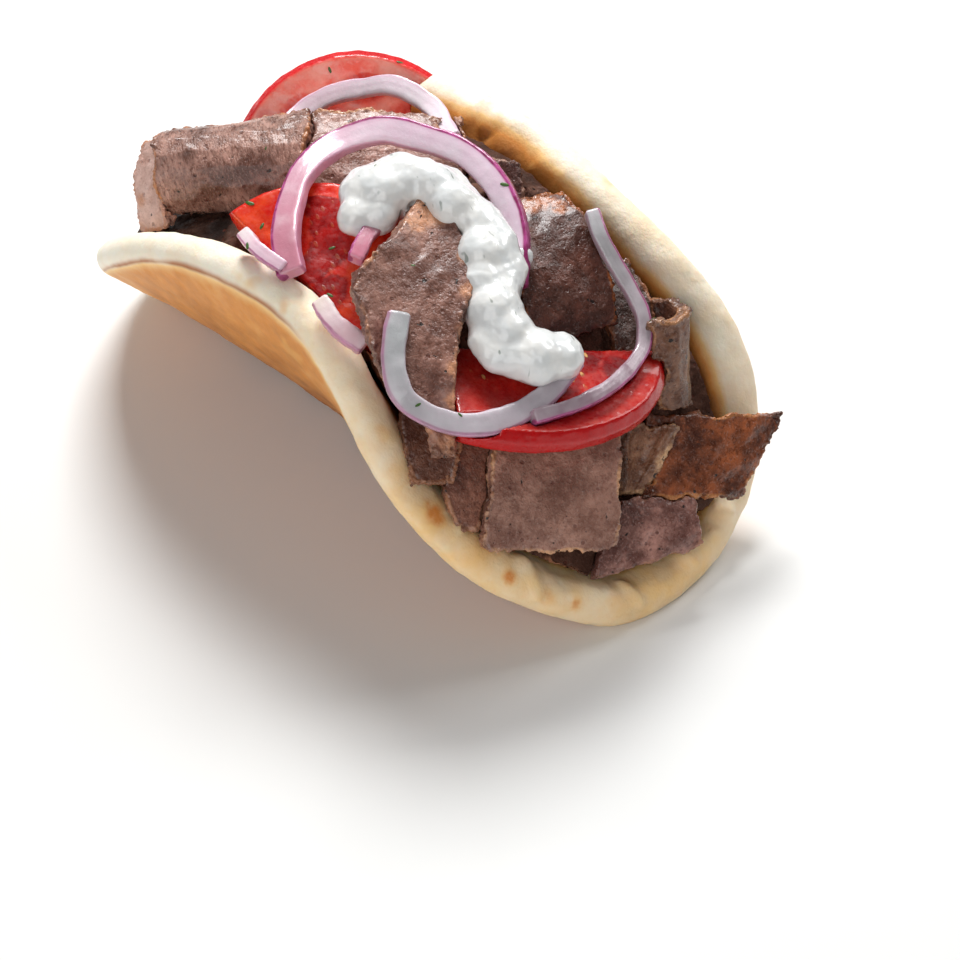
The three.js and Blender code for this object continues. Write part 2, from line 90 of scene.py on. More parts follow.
def cellsOf(tree, place, size, spread=1.0):  # size in mm
    inputs = {"Vector": place, "Scale": 1000 / size, "Randomness": spread}
    return addNode(tree, "ShaderNodeTexVoronoi", inputs).outputs["Distance"]


def step(tree, value, low, high, fromLow=0.0, toHigh=1.0):
    inputs = {"Value": value, "From Min": low, "From Max": high, "To Min": fromLow, "To Max": toHigh}
    return addNode(tree, "ShaderNodeMapRange", inputs, interpolation_type="SMOOTHSTEP").outputs[0]


def mixed(tree, share, first, second):
    inputs = {0: share, 6: first, 7: second}
    return addNode(tree, "ShaderNodeMix", inputs, data_type="RGBA").outputs[2]


def ramp(tree, value, *stops):  # each stop: place, colour
    node = addNode(tree, "ShaderNodeValToRGB", {0: value})
    row = node.color_ramp.elements
    while len(row) < len(stops):
        row.new(0.5)
    for stop, (place, colour) in zip(row, stops):
        stop.position, stop.color = place, colour
    return node.outputs[0]


def marked(tree, name):
    return addNode(tree, "ShaderNodeAttribute", attribute_name=name).outputs["Fac"]


def startMaterial(name, **shaderValues):
    material = bpy.data.materials.new(name)
    material.use_nodes = True
    tree = material.node_tree
    shader = tree.nodes["Principled BSDF"]
    for key, value in shaderValues.items():
        shader.inputs[key.replace("_", " ")].default_value = value
    place = addNode(tree, "ShaderNodeTexCoord").outputs["Object"]
    return material, tree, shader, place


def bump(tree, shader, height, distance, strength=1.0):  # distance in mm
    inputs = {"Strength": strength, "Distance": distance * mm, "Height": height}
    tree.links.new(addNode(tree, "ShaderNodeBump", inputs).outputs[0], shader.inputs["Normal"])


# meshes

def newObject(name, mesh):
    obj = bpy.data.objects.new(name, mesh)
    bpy.context.scene.collection.objects.link(obj)
    return obj


def meshFrom(name, points, faces):
    mesh = bpy.data.meshes.new(name)
    mesh.from_pydata([tuple(p) for p in points], [], [tuple(f) for f in faces])
    mesh.update()
    return newObject(name, mesh)


def copyOfNode(node, name):
    mesh = frame["nodes"][node].data.copy()
    mesh.materials.clear()
    build = bmesh.new()
    build.from_mesh(mesh)
    bmesh.ops.remove_doubles(build, verts=build.verts, dist=0.01 * mm)
    build.to_mesh(mesh)
    build.free()
    return newObject(name, mesh)


def settle(obj):  # turns live modifiers into plain mesh
    graph = bpy.context.evaluated_depsgraph_get()
    mesh = bpy.data.meshes.new_from_object(obj.evaluated_get(graph), preserve_all_data_layers=True,
                                           depsgraph=graph)
    obj.modifiers.clear()
    obj.data = mesh
    return obj


def soften(obj, voxel, rounds):
    shell = obj.modifiers.new("shell", "REMESH")
    shell.mode = "VOXEL"
    shell.voxel_size = voxel * mm
    ease = obj.modifiers.new("ease", "SMOOTH")
    ease.factor = 0.5
    ease.iterations = rounds
    return settle(obj)


def pointsOf(obj):
    flat = np.empty(len(obj.data.vertices) * 3)
    obj.data.vertices.foreach_get("co", flat)
    return flat.reshape(-1, 3) / mm


def normalsOf(obj):
    flat = np.empty(len(obj.data.vertices) * 3)
    obj.data.vertices.foreach_get("normal", flat)
    return flat.reshape(-1, 3)


def movePoints(obj, points):
    obj.data.vertices.foreach_set("co", (points * mm).ravel())
    obj.data.update()


def mark(obj, name, values):
    layer = obj.data.attributes.get(name) or obj.data.attributes.new(name, "FLOAT", "POINT")
    layer.data.foreach_set("value", np.asarray(values, float).ravel())


def neighbourMean(obj, values, rounds):
    edges = np.empty(len(obj.data.edges) * 2, int)
    obj.data.edges.foreach_get("vertices", edges)
    first, second = edges.reshape(-1, 2).T
    count = np.bincount(edges, minlength=len(obj.data.vertices)) + 1.0
    values = values.copy()
    for _ in range(rounds):
        for axis in range(values.shape[1]):
            column = values[:, axis]
            total = column + np.bincount(first, column[second], len(column))
            values[:, axis] = (total + np.bincount(second, column[first], len(column))) / count
    return values


def nearSpots(points, spots):  # spots: x, y, z, reach, strength
    total = np.zeros(len(points))
    for x, y, z, reach, strength in spots:
        far = np.linalg.norm(points - (x, y, z), axis=1) / reach
        total = np.maximum(total, strength * np.exp(-far * far))
    return total


def farFromPath(points, path):
    near = np.full(len(points), 1e9)
    for start, end in zip(np.array(path[:-1], float), np.array(path[1:], float)):
        line = end - start
        t = np.clip((points - start) @ line / (line @ line), 0, 1)
        near = np.minimum(near, np.linalg.norm(points - start - t[:, None] * line, axis=1))
    return near


def edgeShare(obj, rounds, full):  # 0 on open faces, 1 along edges
    blurred = neighbourMean(obj, normalsOf(obj), rounds)
    return np.clip((1 - np.linalg.norm(blurred, axis=1)) / full, 0, 1)


def finishPiece(obj, nodes):
    obj.data.polygons.foreach_set("use_smooth", [True] * len(obj.data.polygons))
    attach(obj, "root")
    if nodes:
        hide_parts(*nodes)


def sway(x, seed):  # the same slow wander as on the solids
    waves = ((2.1, 1.7, 0.5), (5.3, 2.9, 0.3), (11.7, 4.3, 0.2))
    return sum(share * np.sin(rate * x + shift * seed) for rate, shift, share in waves)


# relief: one geometry tree that roughens any food surface along its normals

reliefNames = ("waveSize", "waveDepth", "grainSize", "grainDepth", "pitSize", "pitDepth", "edgeSize",
               "edgeDepth", "foldSize", "foldDepth")


def reliefTree():
    tree = bpy.data.node_groups.new("foodRelief", "GeometryNodeTree")
    face = tree.interface
    face.new_socket("Geometry", in_out="INPUT", socket_type="NodeSocketGeometry")
    face.new_socket("Geometry", in_out="OUTPUT", socket_type="NodeSocketGeometry")
    for name in reliefNames + ("seed",):
        face.new_socket(name, in_out="INPUT", socket_type="NodeSocketFloat")
    face.new_socket("material", in_out="INPUT", socket_type="NodeSocketMaterial")
    given = tree.nodes.new("NodeGroupInput").outputs
    place = tree.nodes.new("GeometryNodeInputPosition").outputs[0]
    normal = tree.nodes.new("GeometryNodeInputNormal").outputs[0]

    def centred(size, depth, detail):
        noise = noiseOf(tree, place, size, detail, 0.6, given["seed"])
        return mathOf(tree, "MULTIPLY", mathOf(tree, "SUBTRACT", noise, 0.5),
                      mathOf(tree, "MULTIPLY", depth, 2.0))

    wave = centred(given["waveSize"], given["waveDepth"], 2.0)
    grain = centred(given["grainSize"], given["grainDepth"], 3.0)
    hole = step(tree, noiseOf(tree, place, given["pitSize"], 1.0, 0.5, given["seed"]), 0.62, 0.72)
    pit = mathOf(tree, "MULTIPLY", hole, given["pitDepth"])
    edge = addNode(tree, "GeometryNodeInputNamedAttribute", {"Name": "edge"}, data_type="FLOAT")
    teeth = centred(given["edgeSize"], given["edgeDepth"], 2.0)
    ragged = mathOf(tree, "MULTIPLY", teeth, edge.outputs["Attribute"])
    slow = noiseOf(tree, place, given["foldSize"], 1.0, 0.4, given["seed"])
    crest = mathOf(tree, "ABSOLUTE", mathOf(tree, "SUBTRACT", slow, 0.5))
    crest = mathOf(tree, "SUBTRACT", mathOf(tree, "MULTIPLY", crest, 4.0), 0.4)
    fold = mathOf(tree, "MULTIPLY", crest, given["foldDepth"])
    total = mathOf(tree, "ADD", mathOf(tree, "ADD", wave, grain), mathOf(tree, "SUBTRACT", ragged, pit))
    total = mathOf(tree, "ADD", total, fold)
    offset = addNode(tree, "ShaderNodeVectorMath", {0: normal, "Scale": total}, operation="SCALE").outputs[0]
    moved = addNode(tree, "GeometryNodeSetPosition",
                    {"Geometry": given["Geometry"], "Offset": offset}).outputs[0]
    real = addNode(tree, "GeometryNodeRealizeInstances", {"Geometry": moved}).outputs[0]
    coated = addNode(tree, "GeometryNodeSetMaterial",
                     {"Geometry": real, "Material": given["material"]}).outputs[0]
    tree.links.new(coated, tree.nodes.new("NodeGroupOutput").inputs[0])
    return tree


foodRelief = reliefTree()


def useTree(obj, tree, values):
    modifier = obj.modifiers.new(tree.name, "NODES")
    modifier.node_group = tree
    for item in tree.interface.items_tree:
        if item.in_out == "INPUT" and item.name in values:
            modifier[item.identifier] = values[item.name]
    return settle(obj)


def roughen(obj, material, look, seed=0.0):  # look: settings of a piece in mm, a depth left out is 0
    usual = {"waveSize": 10, "grainSize": 1.5, "pitSize": 3, "edgeSize": 2, "foldSize": 9}
    values = {name: look.get(name, usual.get(name, 0)) * mm for name in reliefNames}
    return useTree(obj, foodRelief, values | {"seed": float(seed), "material": material})


# pita

pita = {
    "length": 183, "across": 175, "thick": 10, "pressed": 1.5, "puff": 0.06, "front": 0.979,
    "lowWall": {"side": -1, "turn": [0, 56.4, 50.3, 62.5, 92], "back": 0.315, "front": 0.553,
                "swell": (0.08, 29, 28)},
    "highWall": {"side": 1, "turn": [0, 60, 96.5, 94.7, 26.7], "back": 0.886, "front": 0.764,
                 "swell": (-0.108, 10, 35)},
    "around": 480, "rings": 84, "rimSteps": 9,
    "waveSize": 13, "waveDepth": 0.8, "grainSize": 4.5, "grainDepth": 0.3,
}
baking = {  # how far each place is baked: 0 cream, about 0.5 golden, 1 brown; on the inner face, the far wall and the deep fold also get painted shade
    "rim": 0.03, "frontRim": 0.18,
    "inner": 0.6, "innerFarAndShade": 0.35, "innerDeepOilAndShade": 0.35,
    "outer": 0.6, "outerMiddle": 0.35,
    "lineAt": 0.957, "lineWidth": 0.008,  # the brown line where the rim meets the outer face
}
bakedMarks = {
    # x, y, z, reach, strength
    "toasted": [[50.7, -50.7, 49.5, 2, 0.4], [51.4, -51.9, 48.9, 2.2, 0.5], [60, -47.8, 40.6, 2, 0.7],
                [61.7, -47.5, 38.8, 3, 1], [62.5, -47.1, 37.5, 2.6, 0.9], [75.5, -37.7, 23.1, 2.2, 1],
                [81, -31, 16.5, 3, 0.6], [84, -25.1, 12.6, 1.9, 0.9], [70, -42, 30, 6, 0.45],
                [55, -50, 46, 6, 0.4], [87, -14, 9, 5, 0.4], [88, 5, 8, 6, 0.35], [84, 20, 14, 7, 0.4]],
    "dents": [[56.5, -48, 44.5, 4.5, -0.7], [69, -43, 31.5, 4.5, 0.7], [47, -50.5, 53, 5, 0.6],
              [88, -14, 7, 4, 0.6], [-13.3, 28.9, 71.9, 3.2, 0.8], [-5.4, 27.3, 70.1, 2.6, -0.7],
              [-0.1, 26.8, 68.7, 3, 0.9], [3.5, 30.6, 71.8, 3, -0.7], [12.1, 29.6, 69.6, 2.6, 1.2],
              [17.1, 30.5, 69.1, 2.4, 0.9], [76.7, -25, 18.7, 5, -1.2], [43.8, 31.7, 55.7, 6, 0.9],
              [61, 35.6, 39.8, 6, 0.8], [68.2, 34.2, 29.8, 4, -0.9], [84.4, 18, 12, 4, -0.8]],
    # from, to, width, depth
    "creases": [[[-11.9, 33.2, 73.7], [-7.4, 27.6, 70.6], 1.3, 1.1],
                [[65.2, -43.8, 34.7], [66, -48.5, 32.5], 1.4, 1.1],
                [[84, -10.5, 10.5], [89, -9, 6.5], 1.2, 0.8], [[79, 14, 18], [84.4, 23.4, 11.6], 2, 1.3],
                [[84, 6, 11], [88, 9, 7.5], 1.4, 0.7], [[74, -32, 24], [80, -33, 17.5], 1.6, 0.8]],
}


def along(row, t):
    row = np.array(row, float)
    place = np.clip(t, 0, 1) * (len(row) - 1)
    i = np.minimum(place.astype(int), len(row) - 2)
    f = place - i
    return row[i] + (row[i + 1] - row[i]) * f * f * (3 - 2 * f)


def wallPoint(x, arc, wall):
    steps = 14
    ease = np.where(x < 0, wall["back"], wall["front"])
    share, middle, reach = wall["swell"]
    kept = 1 - ease * (x / (pita["length"] / 2)) ** 2 + share * np.exp(-(((x - middle) / reach) ** 2))
    y = np.zeros_like(arc)
    z = np.full_like(arc, pita["thick"] / 2 - pita["pressed"])
    for i in range(steps):
        part = ((i + 0.5) / steps) * arc / (pita["across"] / 2)
        angle = np.radians(along(wall["turn"], part) * kept)
        y += np.cos(angle) * arc / steps
        z += np.sin(angle) * arc / steps
    outward = np.stack([0 * x, wall["side"] * np.sin(angle), -np.cos(angle)], -1)
    return np.stack([np.where(x > 0, pita["front"] * x, x), wall["side"] * y, z], -1), outward


def breadPoints(r, turn, lift):  # lift: -1 on the inner face, 0 at the rim, 1 on the outer face
    edge = 1 + 0.008 * np.sin(3 * turn + 0.6) + 0.006 * np.sin(7 * turn + 2)
    x = (pita["length"] / 2) * edge * r * np.cos(turn)
    across = (pita["across"] / 2) * edge * r * np.sin(turn)
    low, lowOut = wallPoint(x, np.abs(across), pita["lowWall"])
    high, highOut = wallPoint(x, np.abs(across), pita["highWall"])
    isLow = (across < 0)[..., None]
    puff = 1 + pita["puff"] * np.sin(5 * turn + 9 * r)
    half = pita["thick"] / 2
    return np.where(isLow, low, high) + np.where(isLow, lowOut, highOut) * (lift * half * puff)[..., None]


def rise(value, low, high):
    t = np.clip((value - low) / (high - low), 0, 1)
    return t * t * (3 - 2 * t)


def makePita():
    half = pita["thick"] / 2
    band = half / (pita["length"] / 2)  # share of the radius that the rounded rim takes
    flat = (1 - band) * np.linspace(0.015, 1, pita["rings"]) ** 0.75
    bends = np.linspace(0, math.pi / 2, pita["rimSteps"] + 1)[1:]
    shares = np.concatenate([flat, 1 - band + band * np.sin(bends)])
    lifts = np.concatenate([np.ones(len(flat)), np.cos(bends)])
    shares = np.concatenate([shares, shares[-2::-1]])
    lifts = np.concatenate([lifts, -lifts[-2::-1]])
    turn = np.linspace(0, 2 * math.pi, pita["around"], endpoint=False)
    r, angle = np.meshgrid(shares, turn, indexing="ij")
    lift = np.repeat(lifts[:, None], pita["around"], 1)
    points = breadPoints(r, angle, lift).reshape(-1, 3)
    rows, cols = len(shares), pita["around"]
    at = lambda i, j: i * cols + j % cols
    faces = [(at(i, j), at(i + 1, j), at(i + 1, j + 1), at(i, j + 1))
             for i in range(rows - 1) for j in range(cols)]
    outerMiddle, innerMiddle = len(points), len(points) + 1
    points = np.concatenate([points, breadPoints(np.zeros(2), np.zeros(2), np.array([1.0, -1.0]))])
    faces += [(outerMiddle, at(0, j), at(0, j + 1)) for j in range(cols)]
    faces += [(innerMiddle, at(rows - 1, j + 1), at(rows - 1, j)) for j in range(cols)]
    obj = meshFrom("pitaBread", points * mm, faces)
    middles = ((r, [0, 0]), (angle, [0, 0]), (lift, [1, -1]))
    r, angle, lift = (np.append(v.ravel(), end) for v, end in middles)

    x, y = points[:, 0], points[:, 1]
    farSide = rise(np.sin(angle), 0, 0.35)
    front = rise(x, -5, 70) * (1 - 0.6 * rise(y, 5, 28))
    base = baking["rim"] + baking["frontRim"] * front
    # inner face: golden bake, browner on the far wall and deep in the fold towards the filling, partly oil
    # and partly painted shade
    inside = baking["inner"] + baking["innerFarAndShade"] * farSide
    inside = inside * rise(-r, -0.95 - 0.02 * farSide, -0.86 - 0.03 * farSide)
    inside = inside + baking["innerDeepOilAndShade"] * rise(-r, -0.88, -0.74)
    outside = baking["outer"] * rise(-r, -0.97, -0.92) + baking["outerMiddle"] * rise(-r, -0.92, -0.5)
    share = (lift + 1) / 2
    mark(obj, "bakeAndShade", np.maximum(base, (1 - share) * inside + share * outside))
    mark(obj, "toast", nearSpots(points, bakedMarks["toasted"]))
    border = np.exp(-(((r - baking["lineAt"]) / baking["lineWidth"]) ** 2)) * rise(lift, 0.2, 0.6)
    mark(obj, "scorch", border * rise(-y, 10, 30) * rise(x, -80, -60) * rise(-x, -30, -5))
    mark(obj, "edge", np.zeros(len(points)))

    # dents and pinched folds
    push = np.zeros(len(points))
    for x, y, z, reach, depth in bakedMarks["dents"]:
        push -= depth * np.exp(-((np.linalg.norm(points - (x, y, z), axis=1) / reach) ** 2))
    for start, end, width, depth in bakedMarks["creases"]:
        far = farFromPath(points, [start, end]) / width
        push += depth * (0.5 * np.exp(-((far - 1.9) ** 2)) - np.exp(-far * far))
    movePoints(obj, points + normalsOf(obj) * push[:, None])
    return obj


def breadMaterial():
    material, tree, shader, place = startMaterial("bakedBread", Roughness=0.5, Subsurface_Weight=0.25,
                                                  Subsurface_Scale=0.003)
    shader.inputs["Subsurface Radius"].default_value = (1.0, 0.6, 0.35)
    shader.inputs["Specular IOR Level"].default_value = 0.25
    broad = noiseOf(tree, place, 20, 3, 0.6)
    patches = noiseOf(tree, place, 7, 4, 0.6, 3.0)
    fine = noiseOf(tree, place, 1.3, 3, 0.6, 5.0)
    uneven = mathOf(tree, "MULTIPLY", mathOf(tree, "ADD", broad, patches), 0.5)
    swing = mathOf(tree, "MULTIPLY", mathOf(tree, "SUBTRACT", uneven, 0.5), 1.1)
    # bake of the crust, with painted shade on the inner face of the fold
    bakeAndShade = marked(tree, "bakeAndShade")
    bakeAndShade = mathOf(tree, "ADD", bakeAndShade, mathOf(tree, "MULTIPLY", swing, mathOf(tree, "ADD", bakeAndShade, 0.34)))
    base = ramp(tree, bakeAndShade, (0, tone(253, 243, 224)), (0.3, tone(246, 202, 136)), (0.6, tone(224, 150, 76)),
                (1, tone(158, 94, 38)))
    toast = mathOf(tree, "MULTIPLY", marked(tree, "toast"), step(tree, patches, 0.3, 0.55, 0.5, 1.1))
    blotches = step(tree, noiseOf(tree, place, 11, 2, 0.5, 11.0), 0.6, 0.74, 0, 0.5)
    toast = mathOf(tree, "MAXIMUM", toast, blotches)
    base = mixed(tree, step(tree, toast, 0.1, 0.6, 0, 0.5), base, tone(240, 184, 106))
    base = mixed(tree, step(tree, toast, 0.42, 0.95, 0, 0.9), base, tone(220, 132, 54))
    scorch = mathOf(tree, "MULTIPLY", marked(tree, "scorch"), step(tree, broad, 0.3, 0.6, 0.6, 1))
    base = mixed(tree, step(tree, scorch, 0.1, 0.95, 0, 0.9), base, tone(168, 92, 34))
    base = mixed(tree, step(tree, fine, 0.55, 0.8, 0, 0.16), base, tone(212, 160, 98))
    tree.links.new(base, shader.inputs["Base Color"])
    height = mathOf(tree, "ADD", mathOf(tree, "MULTIPLY", patches, 1.2), mathOf(tree, "MULTIPLY", fine, 0.22))
    bump(tree, shader, height, 1.0, 0.6)
    return material


bread = roughen(makePita(), breadMaterial(), pita)
points = pointsOf(bread)
points[:, 2] = np.maximum(points[:, 2], 0)  # it rests flat
movePoints(bread, points)
finishPiece(bread, ["pita"])
print("pita made")


# meat

slices = {  # pale and dark are the two tones of the face, crust that of cut and browned edges
    "meat_roll_back": {
        "seed": 1, "pale": (194, 148, 132), "dark": (90, 52, 38), "crust": (196, 130, 84),
        "fibre": (0.6, 0.78, 0.28),
    },
    "meat_roll_end": {
        "seed": 2, "pale": (230, 194, 182), "dark": (184, 142, 128), "crust": (196, 134, 98),
        "browned": [[-54.8, -40.5, 56.6, 2.6, 0.7]],
    },
    "meat_behind_onion": {
        "seed": 3, "pale": (188, 144, 130), "dark": (110, 68, 54), "crust": (204, 150, 112),
    },
    "meat_far_scrap": {"seed": 4, "pale": (132, 90, 82), "dark": (80, 46, 38), "crust": (190, 146, 124)},
    "meat_centre": {
        "seed": 5, "pale": (166, 120, 104), "dark": (94, 56, 44), "crust": (214, 152, 114),
        "browned": [[21.4, -13.6, 83, 4.5, 1], [22.5, -19, 83, 3.5, 0.8], [60.7, -42.1, 56.9, 5, 0.6],
                    [34.9, -14.7, 78.7, 2.4, 0.75], [41.5, -20, 75.8, 2.4, 0.75],
                    [46, -26, 70.3, 2.4, 0.75], [52.1, -33.1, 67.1, 2.4, 0.75],
                    [56.4, -37.4, 62.5, 2.4, 0.75]],
    },
    "meat_far_upper": {
        "seed": 6, "pale": (108, 62, 48), "dark": (60, 30, 20), "crust": (168, 90, 26),
        "browned": [[25.4, 13.3, 74, 3, 1], [26.7, 16.8, 74, 3, 1], [30.3, 18.2, 73.8, 2.6, 1],
                    [23, 9, 74, 3, 1]],
    },
    "meat_far_middle": {"seed": 7, "pale": (92, 56, 44), "dark": (50, 28, 19), "crust": (160, 100, 64)},
    "meat_far_curl": {"seed": 8, "pale": (140, 98, 74), "dark": (78, 44, 30), "crust": (180, 128, 88)},
    "meat_front_slab": {"seed": 9, "pale": (182, 136, 118), "dark": (124, 84, 70), "crust": (212, 160, 118)},
    "meat_front_loop": {"seed": 10, "pale": (178, 130, 100), "dark": (100, 62, 42), "crust": (224, 178, 134)},
    "meat_over_rim": {"seed": 11, "pale": (164, 88, 48), "dark": (66, 28, 12), "crust": (190, 124, 72)},
    "meat_front_low": {"seed": 12, "pale": (190, 138, 124), "dark": (94, 56, 48), "crust": (170, 118, 94)},
    "meat_near_low": {"seed": 13, "pale": (154, 102, 82), "dark": (88, 52, 40), "crust": (178, 126, 96)},
    "meat_under_centre": {"seed": 14, "pale": (132, 86, 66), "dark": (78, 44, 32), "crust": (182, 124, 88)},
}
meatLook = {
    "voxel": 0.34, "smooth": 4, "waveSize": 8, "waveDepth": 0.4, "grainSize": 1.2, "grainDepth": 0.12,
    "pitSize": 2.6, "pitDepth": 0.12, "edgeSize": 1.8, "edgeDepth": 1.4,
    "edgeBlur": 34, "edgeFull": 0.62, "edgeRange": (0.14, 0.36),  # what counts as a cut edge
}


# packs a pattern closer along one direction, so that it runs in fibres
def drawnOut(tree, place, across, times):
    dot = addNode(tree, "ShaderNodeVectorMath", {0: place, 1: across},
                  operation="DOT_PRODUCT").outputs["Value"]
    extra = addNode(tree, "ShaderNodeVectorMath",
                    {0: across, "Scale": mathOf(tree, "MULTIPLY", dot, times - 1)}, operation="SCALE")
    return addNode(tree, "ShaderNodeVectorMath", {0: place, 1: extra.outputs[0]}, operation="ADD").outputs[0]


def meatMaterial(name, look, layered=False):
    material, tree, shader, place = startMaterial(name, Subsurface_Weight=0.05, Subsurface_Scale=0.001,
                                                  Coat_Weight=0.0 if layered else 0.25, Coat_Roughness=0.14)
    shader.inputs["Subsurface Radius"].default_value = (1.0, 0.35, 0.25)
    shader.inputs["Specular IOR Level"].default_value = 0.08 if layered else 0.38
    dark, pale, crust = (tone(*look[key]) for key in ("dark", "pale", "crust"))
    threads = drawnOut(tree, place, look["fibre"], 2.6) if "fibre" in look else place
    broad = noiseOf(tree, place, 10, 3, 0.6, look["seed"])
    mottle = noiseOf(tree, threads, 3.4, 3, 0.6, look["seed"])
    grain = noiseOf(tree, threads, 1.3, 3, 0.65, 2.0, 0.3)
    fine = noiseOf(tree, place, 0.55, 2, 0.6, 4.0)
    base = mixed(tree, step(tree, broad, 0.35, 0.65), dark, pale)
    base = mixed(tree, step(tree, mottle, 0.4, 0.6, 0.4, 0), base, dark)
    base = mixed(tree, step(tree, grain, 0.34, 0.54, 0.6, 0), base, dark)
    base = mixed(tree, step(tree, grain, 0.52, 0.72, 0, 0.5), base, pale)
    # whitish specks: partly fat, partly painted glints of a wet surface
    base = mixed(tree, step(tree, fine, 0.54, 0.7, 0, 0.28), base,
                 mixed(tree, 0.3, pale, tone(230, 214, 208)))
    if layered:
        # random slice tones, darker in the grooves between slices as painted shade
        base = mixed(tree, step(tree, marked(tree, "tone"), 0, 1, 0, 0.75), base, tone(58, 34, 24))
        # painted shade: near-black where the hollows under the roll lie in shade
        base = mixed(tree, marked(tree, "deep"), base, tone(20, 11, 8))
    browned = mathOf(tree, "MULTIPLY", marked(tree, "browned"), step(tree, mottle, 0.25, 0.5, 0.5, 1.2))
    cut = mathOf(tree, "MULTIPLY", marked(tree, "edge"), step(tree, broad, 0.4, 0.62, 0.3, 0.8))
    browned = mathOf(tree, "MAXIMUM", browned, cut)
    base = mixed(tree, step(tree, browned, 0.25, 0.85), base,
                 mixed(tree, step(tree, grain, 0.35, 0.6, 0.4, 0), crust, dark))
    speck = step(tree, noiseOf(tree, place, 2.1, 2, 0.5, 17.0 + look["seed"]), 0.69, 0.73)
    base = mixed(tree, speck, base, tone(36, 22, 16))
    pore = step(tree, cellsOf(tree, place, 3.1), 0.2, 0.1)
    base = mixed(tree, mathOf(tree, "MULTIPLY", pore, 0.7), base, mixed(tree, 0.5, dark, tone(90, 36, 24)))
    tree.links.new(base, shader.inputs["Base Color"])
    smoothest, roughest = (0.55, 0.75) if layered else (0.24, 0.48)
    tree.links.new(step(tree, grain, 0.35, 0.65, smoothest, roughest), shader.inputs["Roughness"])
    height = mathOf(tree, "ADD", grain, mathOf(tree, "MULTIPLY", fine, 0.6))
    height = mathOf(tree, "ADD", height, mathOf(tree, "MULTIPLY", mottle, 0.4))
    hollow = mathOf(tree, "MULTIPLY", mathOf(tree, "ADD", pore, speck), 0.5)
    height = mathOf(tree, "SUBTRACT", height, hollow)
    bump(tree, shader, height, 0.4, 0.85)
    return material


for node, look in slices.items():
    piece = soften(copyOfNode(node, node + "_slice"), meatLook["voxel"], meatLook["smooth"])
    cutEdge = edgeShare(piece, meatLook["edgeBlur"], meatLook["edgeFull"])
    mark(piece, "edge", rise(cutEdge, *meatLook["edgeRange"]))
    mark(piece, "browned", nearSpots(pointsOf(piece), look.get("browned", [])))
    piece = roughen(piece, meatMaterial(node + "_meat", look), meatLook, look["seed"])
    finishPiece(piece, [node])
    print(node, "made:", len(piece.data.polygons), "faces")


# the stack of slices that fills the fold

stack = {
    "voxel": 0.8, "smooth": 4, "count": 110, "long": [30, 46], "wide": [16, 26], "rise": 1.5, "tilt": 0.05,
    "seed": 7, "layer": 5.5, "groove": 1.7, "grooveWidth": 0.13, "edgeBlur": 4, "edgeFull": 0.3,
    "waveSize": 9, "waveDepth": 0.5, "grainSize": 1.8, "grainDepth": 0.4, "pitSize": 4, "pitDepth": 0.6,
    "edgeSize": 2.5, "edgeDepth": 0.7,
    # x, y, z, reach, strength of the painted shade in the dark hollows under the roll
    "deep": [[-46.5, -33.7, 51.2, 12, 0.95], [-29.5, -35, 59.3, 10, 0.95]],
}


def makeStack():
    obj = soften(copyOfNode("meat_layers", "meatStack"), stack["voxel"], stack["smooth"])
    points, normals = pointsOf(obj), normalsOf(obj)
    x, y = points[:, 0], points[:, 1]
    draw = np.random.default_rng(stack["seed"])
    height = np.full(len(points), -stack["rise"])
    shade = np.full(len(points), 0.5)
    low, high = points.min(0), points.max(0)
    for k in range(stack["count"]):
        cx, cy = draw.uniform(low[0], high[0]), draw.uniform(low[1], high[1])
        angle = draw.normal(0.5, 0.6)
        u = (x - cx) * math.cos(angle) + (y - cy) * math.sin(angle)
        v = (y - cy) * math.cos(angle) - (x - cx) * math.sin(angle)
        half = draw.uniform(*stack["long"]) / 2
        side = draw.uniform(*stack["wide"]) / 2
        inside = (np.abs(u) < half + 0.9 * sway(v / 6, k)) & (np.abs(v) < side + 0.9 * sway(u / 6, k + 3))
        plane = draw.uniform(-1, 1) * stack["rise"] + stack["tilt"] * (draw.normal() * u + draw.normal() * v)
        top = inside & (plane > height)
        height[top] = plane[top]
        shade[top] = draw.uniform()
    share = np.clip((normals[:, 2] - 0.1) / 0.4, 0, 1)
    points[:, 2] += height * share

    # slice edges on its sides, with painted shade in the grooves between the slices
    level = (points[:, 2] + 1.3 * sway(x / 9, 2) + sway(y / 7, 5)) / stack["layer"]
    between = np.exp(-((((level % 1) - 0.5) / stack["grooveWidth"]) ** 2))
    upright = 1 - np.clip(np.abs(normals[:, 2]) / 0.7, 0, 1)
    points -= normals * (stack["groove"] * between * upright)[:, None]
    # sides: tones that differ per layer, darker in the grooves as painted shade
    sides = np.clip(0.25 + 0.7 * between + 0.3 * np.sin(2.4 * np.floor(level)), 0, 1)
    movePoints(obj, points)
    mark(obj, "tone", shade + (sides - shade) * upright)
    # where the painted shade of the hollows goes
    mark(obj, "deep", nearSpots(points, stack["deep"]))
    mark(obj, "edge", edgeShare(obj, stack["edgeBlur"], stack["edgeFull"]))
    mark(obj, "browned", np.zeros(len(points)))
    return obj


stackTones = {"seed": 20, "pale": (118, 82, 68), "dark": (62, 38, 30), "crust": (160, 108, 78)}
heap = roughen(makeStack(), meatMaterial("stackedMeat", stackTones, layered=True), stack, stackTones["seed"])
finishPiece(heap, ["meat_layers"])
print("stack made")


# tomato

